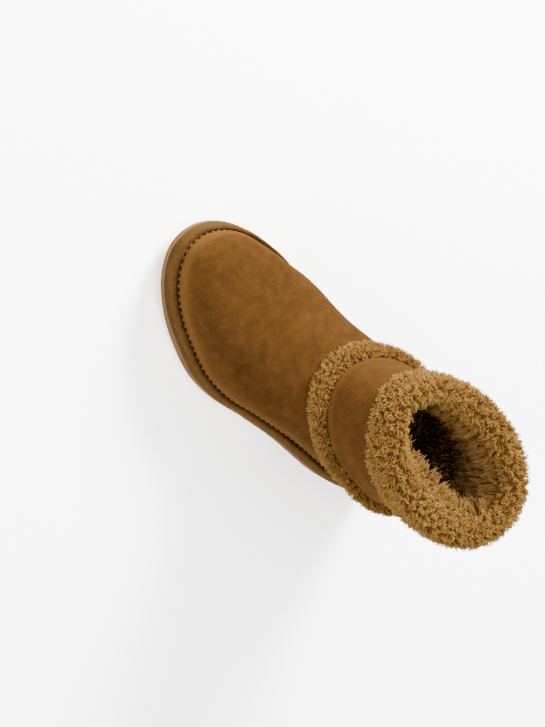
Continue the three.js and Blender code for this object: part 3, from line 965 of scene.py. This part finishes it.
def makeCurlTree():
    inputs = dict.fromkeys(lockLengths + lockShares, "Float")
    inputs.update({"Seed": "Int", "Wool": "Material"})
    tree, add, given = newTree("curlyPile", inputs)
    shapes = addLocks(add, given)

    # Where they stand.
    roots = {"Mesh": given["Geometry"], "Distance Min": given["Spacing"]}
    roots.update({"Density Max": curl["density"], "Seed": given["Seed"]})
    roots = add("GeometryNodeDistributePointsOnFaces", roots, distribute_method="POISSON")
    normal = roots.outputs["Normal"]
    position = add("GeometryNodeInputPosition")
    perWhorl = add("ShaderNodeMath", {0: 1, 1: given["Whorl"]}, operation="DIVIDE")
    whorls = add("ShaderNodeTexVoronoi", {"Vector": position, "Scale": perWhorl})

    # Which way they lean: towards the middle of their whorl, round it, any way, and down.
    # Socket 8 of a Random Value is its seed.
    inward = {0: whorls.outputs["Position"], 1: position}
    inward = add("ShaderNodeVectorMath", inward, operation="SUBTRACT")
    out = add("ShaderNodeVectorMath", {0: inward, 1: normal}, operation="PROJECT")
    inward = add("ShaderNodeVectorMath", {0: inward, 1: out}, operation="SUBTRACT")
    inward = add("ShaderNodeVectorMath", {0: inward, 3: perWhorl}, operation="SCALE")
    around = add("ShaderNodeVectorMath", {0: normal, 1: inward}, operation="CROSS_PRODUCT")
    wild = {0: (-1, -1, -1), 1: (1, 1, 1), 8: given["Seed"]}
    wild = add("FunctionNodeRandomValue", wild, data_type="FLOAT_VECTOR")
    pulls = []
    for pull, share in zip((inward, around, wild, (0, 0, -1)), lockShares):
        pull = {0: pull, 3: given[share]}
        pulls.append(add("ShaderNodeVectorMath", pull, operation="SCALE"))
    lean, swirl, ruffle, comb = pulls
    lean = add("ShaderNodeVectorMath", {0: normal, 1: lean}, operation="ADD")
    swirl = add("ShaderNodeVectorMath", {0: swirl, 1: ruffle}, operation="ADD")
    stand = add("ShaderNodeVectorMath", {0: lean, 1: swirl}, operation="ADD")
    stand = add("ShaderNodeVectorMath", {0: stand, 1: comb}, operation="ADD")
    stand = add("FunctionNodeAlignRotationToVector", {"Vector": stand}, axis="Z")
    spin = {2: 0, 3: curl["fullTurn"], 8: 5}
    spin = add("FunctionNodeRandomValue", spin, data_type="FLOAT")
    spin = add("FunctionNodeAxisAngleToRotation", {"Axis": (0, 0, 1), "Angle": spin})
    stand = {"Rotation": stand, "Rotate By": spin}
    stand = add("FunctionNodeRotateRotation", stand, rotation_space="LOCAL")
    size = {2: curl["smallest"], 3: curl["largest"], 8: 9}
    size = add("FunctionNodeRandomValue", size, data_type="FLOAT")
    which = {4: 0, 5: len(curl["turns"]) - 1, 8: 3}
    which = add("FunctionNodeRandomValue", which, data_type="INT")
    planted = {"Points": roots, "Instance": shapes, "Pick Instance": True}
    planted.update({"Instance Index": which, "Rotation": stand, "Scale": size})
    planted = add("GeometryNodeInstanceOnPoints", planted)

    # Tone: whole whorls differ a little, and so does each lock.
    broad = {"Vector": position, "Scale": 1 / (curl["toneSize"] * millimetre), "Detail": 1}
    broad = add("ShaderNodeTexNoise", broad)
    own = add("FunctionNodeRandomValue", {2: 0, 3: 1, 8: 12}, data_type="FLOAT")
    tone = {0: whorls.outputs["Color"], 1: curl["whorlTone"]}
    tone = add("ShaderNodeMath", tone, operation="MULTIPLY")
    for part, share in ((own, curl["ownTone"]), (broad, curl["broadTone"])):
        tone = add("ShaderNodeMath", {0: part, 1: share, 2: tone}, operation="MULTIPLY_ADD")
    dyed = {"Geometry": planted, "Name": "tone", "Value": tone}
    dyed = add("GeometryNodeStoreNamedAttribute", dyed, domain="INSTANCE")
    endTree(add, dyed, given["Wool"])
    return tree


curlTree = makeCurlTree()


def applyTree(thing, tree, name, inputs):
    # Runs a node tree on a helper and keeps its result as a plain mesh.
    grown = thing.modifiers.new("grown", "NODES")
    grown.node_group = tree
    for socket in tree.interface.items_tree:
        if socket.item_type == "SOCKET" and socket.in_out == "INPUT" and socket.name in inputs:
            grown[socket.identifier] = inputs[socket.name]
    mesh = keepResult(thing, grown)
    mesh.name = name
    made = addObject(name, mesh)
    bpy.data.objects.remove(thing)
    return made


def profileCurve(knots, steps):
    # A rounded line through (level, out) knots.
    knots = np.array(knots, float)
    padded = np.vstack([2 * knots[0] - knots[1], knots, 2 * knots[-1] - knots[-2]])
    points = []
    for i in range(1, len(padded) - 2):
        a, b, c, d = padded[i - 1 : i + 3]
        for t in np.arange(steps) / steps:
            bend = (2 * a - 5 * b + 4 * c - d) * t * t + (3 * b - a - 3 * c + d) * t**3
            points.append((2 * b + (c - a) * t + bend) / 2)
    points.append(knots[-1])
    return np.array(points)


def billowAt(level, angle):
    # How far the lining bulges in, in millimetres.
    turned = turnFrom(angle, pile["billowAngle"])
    front = turnFrom(angle, pile["thinAngle"])
    down = collarLevel - level
    low = smooth((pile["skirt"] * pile["liningReach"] - down) / 12)
    deep = smooth((down + 2) / 9) * low
    fuller = pile["billow"] * bell(turned, pile["billowSpread"]) * deep
    return fuller - pile["thin"] * bell(front, pile["thinSpread"]) * low


def liftAt(level, out, angle):
    # How far the skirt's wool is raised, most at its lower edge.
    turned = turnFrom(angle, pile["liftAngle"])
    share = np.clip((collarLevel - level) / (pile["skirt"] - pile["skirtTuck"]), 0, 1)
    worn = (out > 0) & (level > collarLevel - pile["skirt"])
    return pile["skirtLift"] * bell(turned, pile["liftSpread"]) * share**2 * worn


def wovenRings(profile, facets, bumps=0.0):
    angle = anglesOf(facets)
    level, out = profile[:, :1], profile[:, 1:]
    level = level + liftAt(level, out, angle)
    uneven = np.sin(angle * 41 + level * 1.7) * np.sin(angle * 29 - level * 1.1)
    billow = billowAt(level, angle) * smooth((-leg["wall"] - 1 - out) / 4)
    return offUpper(level + 0 * angle, 0 * level + angle, out + bumps * uneven - billow)


def growPile(name, profile, lock, replaced):
    rings = wovenRings(profile, pile["facets"], pile["bumps"])
    points = rings.reshape(-1, 3)
    faces = gridFaces(len(rings), rings.shape[1], closed=False)
    field = meshFrom("field", points, faces, lock["Wool"])
    made = applyTree(field, curlTree, name, lock)
    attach(made, "root")
    if replaced:
        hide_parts(replaced)
    print(name, len(made.data.polygons))
    return made


def backingPiece(name, outside, skin, replaced):
    rings = [
        *wovenRings(outside, pile["facets"], pile["bumps"]),
        *wovenRings(skin, pile["facets"]),
    ]
    made = ringPiece(name, rings, paintedShadeWoolBacking)
    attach(made, "root")
    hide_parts(replaced)
    return made


def makeCuff():
    bulge = (pile["cuffDepth"] - pile["lockHeight"]) * pile["backing"]
    fill = (pile["liningDepth"] - pile["lockHeight"]) * pile["backing"]
    inner = -leg["wall"] - clearance
    top = (pile["crown"] - pile["lockHeight"]) * pile["backing"]
    inside = pile["skirt"] * pile["liningReach"]
    reach = pile["skirt"] - pile["skirtTuck"]
    # Knots, as millimetres up from the collar's level and out from the suede.
    skirt = [
        (-reach, clearance + 0.2),
        (1 - reach, 0.7 * bulge),
        (-0.7 * reach, bulge),
        (-0.35 * reach, bulge),
        (-0.02 * reach, 0.95 * bulge),
    ]
    crown = [
        skirt[-1],
        (0.55 * top, 0.68 * bulge),
        (top, 0),
        (top, inner - 0.35 * fill),
        (0.45 * top, inner - 0.8 * fill),
        (-0.08 * inside, inner - fill),
    ]
    throat = [
        crown[-1],
        (-0.3 * inside, inner - fill),
        (-0.55 * inside, inner - 0.92 * fill),
        (-0.8 * inside, inner - 0.75 * fill),
        (-0.97 * inside, inner - 0.4 * fill),
        (-inside, inner - 0.1),
    ]
    skin = [
        (-0.5 * inside, inner - 0.05),
        (-2, inner - 0.05),
        (clearance, inner - 0.05),
        (clearance, clearance),
        (-2, clearance),
        (-0.5 * reach, clearance),
    ]
    skin = np.array(skin) + (collarLevel, 0)
    parts = [profileCurve(knots, 5) + (collarLevel, 0) for knots in (skirt, crown, throat)]
    loop = np.vstack([parts[0][:-1], parts[1][:-1], parts[2]])
    backingPiece("cuff_backing", loop, skin, "cuff")
    growPile("cuff_pile_skirt", parts[0], locks["skirt"], "cuff")
    growPile("cuff_pile_crown", parts[1], locks["crown"], "cuff")
    growPile("cuff_pile_inside", parts[2], locks["inside"], "cuff")


def makeAnkleTrim():
    bulge = (pile["trimDepth"] - pile["lockHeight"]) * pile["backing"]
    low = leg["instepRise"] - pile["trimDrop"] * pile["trimWidth"]
    width = pile["trimWidth"] - pile["trimTuckLow"] - pile["trimTuckHigh"]
    low += pile["trimTuckLow"]
    ring = [(0, 0.5), (0.06, 0.6 * bulge), (0.25, 0.95 * bulge), (0.5, bulge)]
    ring += [(0.75, 0.95 * bulge), (0.94, 0.6 * bulge), (1, 0.5)]
    ring = [(low + share * width, out) for share, out in ring]
    skin = np.array([(low + width * share, clearance) for share in (0.8, 0.5, 0.2)])
    profile = profileCurve(ring, 4)
    backingPiece("trim_backing", profile, skin, "ankle_trim")
    growPile("trim_pile", profile, locks["trim"], "ankle_trim")


makeCuff()
makeAnkleTrim()

# Lining and insole
lining = {
    "thickness": 3,
    "bumps": 0.5,
    "ringPitch": 4,
    "locksFrom": 30,  # level above which longer locks show
    "locksOff": 2.5,
    "insoleEdge": 2,
    "insoleThickness": 5,
}


def upright(levels, out):
    return np.column_stack([levels, np.full(len(levels), out)])


def makeLining():
    # Sheared fleece inside the upper, from the insole up to the cuff's long wool.
    angle = anglesOf(pile["facets"])
    low = sole["footbedStep"] + clearance + lining["insoleThickness"] + 0.4
    top = collarLevel - pile["skirt"] * pile["liningReach"] - 0.6
    levels = np.arange(3, top, lining["ringPitch"])
    outer = upright(levels, -leg["wall"] - 0.05)
    inner = upright(levels, -leg["wall"] - lining["thickness"])
    edge = rand["width"] + leg["wall"] + clearance
    foot = soleRing(angle, edge, lambda y: soleTop(y) + low)
    footIn = soleRing(angle, edge + lining["thickness"], lambda y: soleTop(y) + low)
    outside = wovenRings(outer, pile["facets"])
    inside = wovenRings(inner, pile["facets"], lining["bumps"])
    shell = ringPiece("fleece_lining", [foot, *outside, *inside[::-1], footIn], darkFleece)
    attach(shell, "root")
    field = upright(levels[levels > lining["locksFrom"]], -leg["wall"] - lining["locksOff"])
    growPile("fleece_locks", field[::-1], locks["fleece"], None)


def makeInsole():
    angle = anglesOf(pile["facets"])
    inset = rand["width"] + leg["wall"] + 2 * clearance
    low = sole["footbedStep"] + clearance
    thick = lining["insoleThickness"]
    edge = lining["insoleEdge"]
    rings = [
        soleRing(angle, inset + off * edge, lambda y: soleTop(y) + low + share * thick)
        for off, share in ((0.5, 0), (0, 0.4), (0.3, 0.8), (1, 1))
    ]
    insole = stackPiece("fleece_insole", rings, darkFleece)
    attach(insole, "root")
    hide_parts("insole")


makeLining()
makeInsole()

# Stitches along the rand seam
seam = {"level": 0.1, "off": 0.45, "points": 480}
stitch = {"Pitch": 5, "Length": 3, "Width": 1.7}


def makeStitchTree():
    inputs = {"Pitch": "Float", "Length": "Float", "Width": "Float", "Thread": "Material"}
    tree, add, given = newTree("stitches", inputs)
    path = add("GeometryNodeMeshToCurve", {0: given["Geometry"]})
    spaced = {"Curve": path, "Length": given["Pitch"]}
    spaced = add("GeometryNodeResampleCurve", spaced, mode="LENGTH")
    bead = add("GeometryNodeMeshUVSphere", {"Segments": 6, "Rings": 5, "Radius": 0.5})
    bead = add("GeometryNodeSetShadeSmooth", {"Geometry": bead, "Shade Smooth": True})
    size = {"X": given["Length"], "Y": given["Width"], "Z": given["Width"]}
    size = add("ShaderNodeCombineXYZ", size)
    tangent = add("GeometryNodeInputTangent")
    aligned = add("FunctionNodeAlignRotationToVector", {"Vector": tangent}, axis="X")
    sewn = {"Points": spaced, "Instance": bead, "Rotation": aligned, "Scale": size}
    sewn = add("GeometryNodeInstanceOnPoints", sewn)
    endTree(add, sewn, given["Thread"])
    return tree


def makeStitches():
    angle = anglesOf(seam["points"])
    level = np.full(len(angle), seam["level"])
    route = offUpper(level, angle, suedeRelief(level, angle) + seam["off"])
    edges = [(k, (k + 1) % len(angle)) for k in range(len(angle))]
    line = meshFrom("seamLine", route, [], thread, edges)
    inputs = {name: size * millimetre for name, size in stitch.items()}
    inputs["Thread"] = thread
    stitches = applyTree(line, makeStitchTree(), "rand_stitches", inputs)
    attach(stitches, "root")
    print("stitches", len(stitches.data.polygons))


makeStitches()

# Floor and light. Places and sizes of the lamps are in metres.
studio = {
    "floorHalf": 6,
    "paper": "#ececec",
    "paperGain": 6.5,
    "sky": 0.34,
    "backdrop": 3.5,
    "aim": (0, 0, 0.06),
}
lamps = rowsOf(
    "name place size power",
    ("key", (-1.8, -0.5, 1.15), 0.9, 66),
    ("fill", (1.4, -1.5, 0.9), 1.2, 17),
    ("top", (0.1, -0.2, 2.4), 1.2, 13),
)


def addLamp(name, place, size, power):
    data = bpy.data.lights.new(name, "AREA")
    data.shape = "DISK"
    data.size = size
    data.energy = power
    lamp = addObject(name, data)
    toward = Vector(place) - Vector(studio["aim"])
    turned = toward.to_track_quat("Z", "Y").to_matrix().to_4x4()
    lamp.matrix_world = Matrix.Translation(place) @ turned


def makeStudio():
    # Seamless studio paper, overexposed to white in the picture as a catalogue shot has it.
    paper, add = newMaterial("studioPaper", {})[:2]
    seen = add("ShaderNodeLightPath").outputs["Is Camera Ray"]
    bright = [(seen, [studio["paperGain"]] * 3 + [1])]
    bright = layered(add, linear(studio["paper"]), bright)
    matt = add("ShaderNodeBsdfDiffuse", {"Color": bright})
    feed(paper.node_tree.nodes["Material Output"], {"Surface": matt})
    half = studio["floorHalf"]
    corners = [(-half, -half, 0), (half, -half, 0), (half, half, 0), (-half, half, 0)]
    mesh = bpy.data.meshes.new("floor")
    mesh.from_pydata(corners, [], [[0, 1, 2, 3]])
    mesh.materials.append(paper)
    floor = addObject("floor", mesh)
    world = bpy.data.worlds.new("studio")
    world.use_nodes = True
    add = partial(addNode, world.node_tree)
    seen = add("ShaderNodeLightPath").outputs["Is Camera Ray"]
    strength = add("ShaderNodeMapRange", {0: seen, 3: studio["sky"], 4: studio["backdrop"]})
    background = world.node_tree.nodes["Background"]
    feed(background, {"Color": (1, 1, 1, 1), "Strength": strength})
    bpy.context.scene.world = world
    for lamp in lamps:
        addLamp(**lamp)
    print("studio made")


makeStudio()
